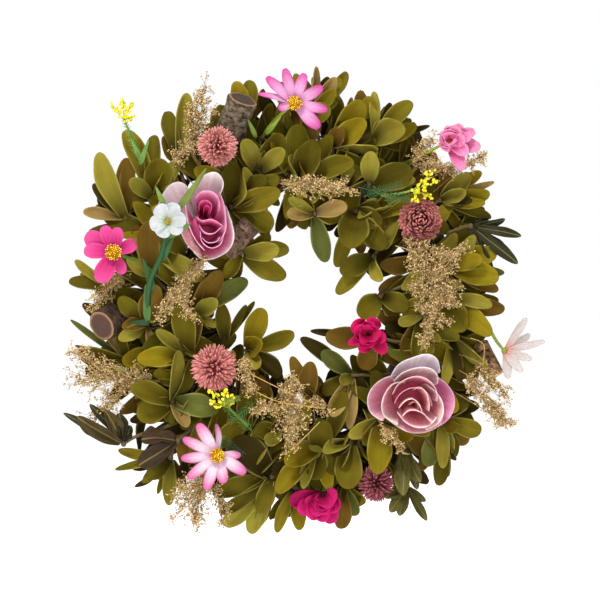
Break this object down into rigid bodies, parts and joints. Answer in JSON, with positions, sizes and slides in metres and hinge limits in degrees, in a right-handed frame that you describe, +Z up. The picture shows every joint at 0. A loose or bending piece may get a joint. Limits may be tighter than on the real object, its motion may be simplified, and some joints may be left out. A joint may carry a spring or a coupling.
{
  "type": "decorative flower wreath",
  "caption": "Round twisted-vine door or table wreath dressed all round with wood-chip leaves, silk flowers, globe flowers, dried sprays and cut branch pieces.",
  "frame": {"origin": "where a hook or nail bears on the inner top of the vine ring", "axes": "+X to the viewer's right across the face, +Y out of the back toward the wall, +Z up"},
  "size_m": [0.29, 0.082, 0.283],
  "materials": {
    "vine": "rough brown bark",
    "wire": "dark florist wire",
    "bark": "bark with a pale cut end",
    "globe": "dusty pink dried florets",
    "petal_pink": "white to pink silk",
    "petal_hot": "hot pink silk",
    "petal_white": "off-white silk",
    "pollen": "yellow stamens",
    "green_stem": "green plastic over wire",
    "straw": "dry tan stalks",
    "yellow": "yellow buds",
    "dark_leaf": "dark green and brown leaves",
    "grey_leaf": "grey-green leaves",
    "olive_leaf": "dyed olive wood-chip leaves"
  },
  "bodies": {
    "wreath": {"vine_cane_1": "vine", "vine_cane_2": "vine", "vine_cane_3": "vine", "binding_wire_1": "wire", "binding_wire_2": "wire", "branch_piece_top": "bark", "branch_piece_left": "bark", "branch_piece_inner_left": "bark", "branch_piece_right": "bark", "globe_top": "globe", "globe_right": "globe", "globe_left": "globe", "globe_bottom": "globe", "pink_rose_bloom": "petal_pink", "pale_rose_bloom": "petal_white", "left_cosmos_petals": "petal_hot", "lower_left_daisy_petals": "petal_pink", "white_blossom_petals": "petal_white", "magenta_bloom_inner_petals": "petal_hot", "magenta_bloom_bottom_petals": "petal_hot", "left_cosmos_centre": "pollen", "lower_left_daisy_centre": "pollen", "dried_spray_top": "straw", "dried_spray_centre_top": "straw", "dried_spray_upper_right": "straw", "dried_spray_right": "straw", "dried_spray_inner_left": "straw", "dried_spray_lower_left": "straw", "dried_spray_bottom_centre": "straw", "yellow_sprig_upper_right": "yellow", "yellow_sprig_lower_left": "yellow", "dark_sprig_right": "dark_leaf", "dark_sprig_lower_left": "dark_leaf", "grey_sprig_bottom_right": "grey_leaf", "leaf_stem_01": "olive_leaf", "leaf_stem_02": "olive_leaf", "leaf_stem_03": "olive_leaf", "leaf_stem_04": "olive_leaf", "leaf_stem_05": "olive_leaf", "leaf_stem_06": "olive_leaf", "leaf_stem_07": "olive_leaf", "leaf_stem_08": "olive_leaf", "leaf_stem_09": "olive_leaf", "leaf_stem_10": "olive_leaf", "leaf_stem_11": "olive_leaf", "leaf_stem_12": "olive_leaf", "leaf_stem_13": "olive_leaf", "leaf_stem_14": "olive_leaf", "leaf_stem_15": "olive_leaf", "leaf_stem_16": "olive_leaf", "leaf_stem_17": "olive_leaf", "leaf_stem_18": "olive_leaf"},
    "top_daisy": {"top_daisy_petals": "petal_pink", "top_daisy_centre": "pollen", "top_daisy_stem": "green_stem"},
    "upper_right_cosmos": {"upper_right_cosmos_petals": "petal_hot", "upper_right_cosmos_stem": "green_stem"},
    "right_daisy": {"right_daisy_petals": "petal_white", "right_daisy_stem": "green_stem"},
    "upper_left_sprig": {"yellow_sprig_upper_left": "yellow"}
  },
  "joints": [
    {"name": "top_daisy_bend", "type": "hinge", "parent": "wreath", "child": "top_daisy", "pos_m": [-0.025, -0.02033, 0.03233], "axis": [0.7071, 0, -0.7071], "range_deg": [0, 25]},
    {"name": "upper_right_cosmos_bend", "type": "hinge", "parent": "wreath", "child": "upper_right_cosmos", "pos_m": [0.061, -0.02033, 0.01733], "axis": [0.4472, 0, -0.8944], "range_deg": [0, 25]},
    {"name": "right_daisy_bend", "type": "hinge", "parent": "wreath", "child": "right_daisy", "pos_m": [0.105, -0.01833, -0.07367], "axis": [-0.8087, 0, -0.5882], "range_deg": [0, 25]},
    {"name": "upper_left_sprig_bend", "type": "hinge", "parent": "wreath", "child": "upper_left_sprig", "pos_m": [-0.093, -0.01633, 0.01333], "axis": [0.9002, 0, 0.4356], "range_deg": [0, 25]}
  ]
}
